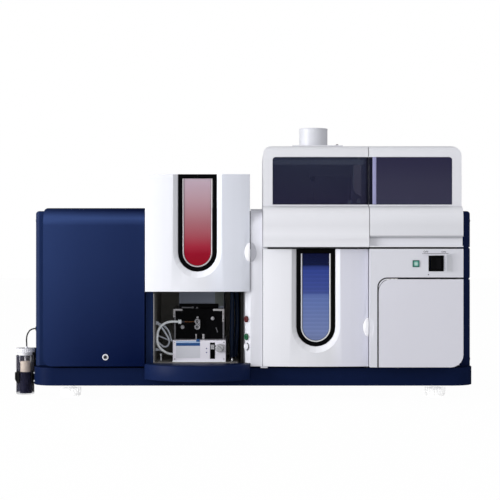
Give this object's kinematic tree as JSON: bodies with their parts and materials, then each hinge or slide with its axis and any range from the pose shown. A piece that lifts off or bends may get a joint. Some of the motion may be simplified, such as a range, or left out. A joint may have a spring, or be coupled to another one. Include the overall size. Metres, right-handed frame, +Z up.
{
  "type": "atomic absorption spectrometer",
  "caption": "Bench-top atomic absorption spectrometer with a flame bay under a sliding door, a furnace bay, hinged covers with a chimney, and a drain bottle.",
  "frame": {"origin": "on the bench, at the centre of the overall box", "axes": "+X to the operator's right, +Y to the back, +Z up"},
  "size_m": [1.1684, 0.664, 0.6983],
  "materials": {
    "navy_paint": "satin",
    "navy_plastic": "satin",
    "white_plastic": "satin",
    "black_plastic": "satin",
    "dark_sheet": "matte",
    "grey_paint": "matte",
    "cast_housing": "matte",
    "magnet_iron": "matte",
    "steel": "brushed",
    "aluminium": "satin",
    "rubber": "matte",
    "smoked_glass": "gloss",
    "red_glass": "gloss",
    "blue_glass": "gloss",
    "clear_plastic": "gloss",
    "beige_plastic": "matte",
    "hose_plastic": "gloss",
    "red_plastic": "gloss",
    "green_plastic": "gloss",
    "green_lens": "gloss",
    "graphite": "matte"
  },
  "bodies": {
    "chassis": {"base_plinth": "navy_paint", "left_side_panel": "navy_paint", "right_side_panel": "navy_paint", "top_panel": "navy_paint", "back_panel": "navy_paint", "left_front_cover": "navy_plastic", "bay_fascia": "navy_plastic", "front_shelf": "navy_plastic", "front_socket": "white_plastic", "center_column": "white_plastic", "right_front_panel": "white_plastic", "switch_bezel": "black_plastic", "bottle_clip": "black_plastic", "bay_liner": "dark_sheet", "furnace_frame": "dark_sheet", "burner_shield": "grey_paint", "monochromator": "cast_housing", "power_supply": "cast_housing", "sampler_base": "cast_housing", "burner_magnet": "magnet_iron", "furnace_magnet": "magnet_iron", "burner_head": "steel", "nebulizer": "steel", "rear_ports": "steel", "burner_box": "aluminium", "foot_front_left": "rubber", "foot_front_right": "rubber", "foot_rear_left": "rubber", "foot_rear_right": "rubber", "drain_bottle": "clear_plastic", "bottle_lid": "clear_plastic", "sample_tube": "clear_plastic", "drain_tube": "clear_plastic", "gas_hose": "hose_plastic", "power_lamp": "green_lens", "graphite_furnace": "graphite"},
    "flame_door_body": {"flame_door": "white_plastic", "flame_door_frame": "black_plastic", "flame_door_glass": "red_glass"},
    "furnace_door_body": {"furnace_door": "white_plastic", "furnace_door_frame": "black_plastic", "furnace_door_glass": "blue_glass"},
    "furnace_cover_body": {"furnace_cover": "white_plastic", "furnace_window": "smoked_glass", "exhaust_chimney": "white_plastic"},
    "sampler_cover_body": {"sampler_cover": "white_plastic", "sampler_window": "smoked_glass"},
    "access_door_body": {"access_door": "white_plastic"},
    "turret_body": {"lamp_turret": "cast_housing"},
    "red_button_body": {"red_button": "red_plastic"},
    "green_button_body": {"green_button": "green_plastic"},
    "white_button_body": {"white_button": "white_plastic"},
    "rocker_body": {"power_rocker": "black_plastic"},
    "knob_body": {"gas_knob": "steel"},
    "lever_body": {"gas_lever": "steel"},
    "turntable_body": {"sampler_turntable": "white_plastic"},
    "arm_body": {"sampler_arm": "white_plastic"},
    "float_body": {"bottle_float": "beige_plastic"},
    "fan_body": {"cooling_fan": "black_plastic"},
    "grating_body": {"grating_table": "cast_housing"}
  },
  "joints": [
    {"name": "flame_door_slide", "type": "slide", "parent": "chassis", "child": "flame_door_body", "axis": [0, 0, 1], "range_m": [-0.1778, 0]},
    {"name": "furnace_door_hinge", "type": "hinge", "parent": "chassis", "child": "furnace_door_body", "pos_m": [0.05895, -0.243, 0.0835], "axis": [0, 0, 1], "range_deg": [-100, 0]},
    {"name": "furnace_cover_hinge", "type": "hinge", "parent": "chassis", "child": "furnace_cover_body", "pos_m": [0.05295, 0.0915, 0.4793], "axis": [-1, 0, 0], "range_deg": [0, 60]},
    {"name": "sampler_cover_hinge", "type": "hinge", "parent": "chassis", "child": "sampler_cover_body", "pos_m": [0.31745, 0.0915, 0.4793], "axis": [-1, 0, 0], "range_deg": [0, 60]},
    {"name": "access_door_hinge", "type": "hinge", "parent": "chassis", "child": "access_door_body", "pos_m": [0.54615, -0.212, 0.0835], "axis": [0, 0, 1], "range_deg": [0, 100]},
    {"name": "turret_spin", "type": "hinge", "parent": "chassis", "child": "turret_body", "pos_m": [0.50715, -0.072, 0.214], "axis": [1, 0, 0], "continuous": true},
    {"name": "power_rocker_tip", "type": "hinge", "parent": "chassis", "child": "rocker_body", "pos_m": [0.48155, -0.272, 0.34105], "axis": [0, 0, 1], "range_deg": [0, 16]},
    {"name": "gas_knob_turn", "type": "hinge", "parent": "chassis", "child": "knob_body", "pos_m": [-0.05665, -0.1973, 0.1267], "axis": [0, 1, 0], "range_deg": [0, 270]},
    {"name": "gas_lever_slide", "type": "slide", "parent": "chassis", "child": "lever_body", "axis": [0, 0, -1], "range_m": [0, 0.022]},
    {"name": "turntable_spin", "type": "hinge", "parent": "chassis", "child": "turntable_body", "pos_m": [0.43745, -0.097, 0.4103], "axis": [0, 0, 1], "continuous": true},
    {"name": "arm_swing", "type": "hinge", "parent": "chassis", "child": "arm_body", "pos_m": [0.30045, -0.072, 0.382], "axis": [0, 0, 1], "range_deg": [-165, 0]},
    {"name": "float_rise", "type": "slide", "parent": "chassis", "child": "float_body", "axis": [0, 0, 1], "range_m": [0, 0.012]},
    {"name": "fan_spin", "type": "hinge", "parent": "chassis", "child": "fan_body", "pos_m": [0.39415, 0.3147, 0.3], "axis": [0, 1, 0], "continuous": true},
    {"name": "grating_turn", "type": "hinge", "parent": "chassis", "child": "grating_body", "pos_m": [-0.36335, -0.002, 0.2693], "axis": [0, 0, 1], "range_deg": [-30, 30]},
    {"name": "red_button_press", "type": "slide", "parent": "chassis", "child": "red_button_body", "axis": [0.7425, 0.6698, 0], "range_m": [0, 0.003], "stiffness_N_per_m": 300, "springref_m": -0.002},
    {"name": "green_button_press", "type": "slide", "parent": "chassis", "child": "green_button_body", "axis": [0.7425, 0.6698, 0], "range_m": [0, 0.003], "stiffness_N_per_m": 300, "springref_m": -0.002},
    {"name": "white_button_press", "type": "slide", "parent": "chassis", "child": "white_button_body", "axis": [0.7425, 0.6698, 0], "range_m": [0, 0.003], "stiffness_N_per_m": 300, "springref_m": -0.002}
  ]
}
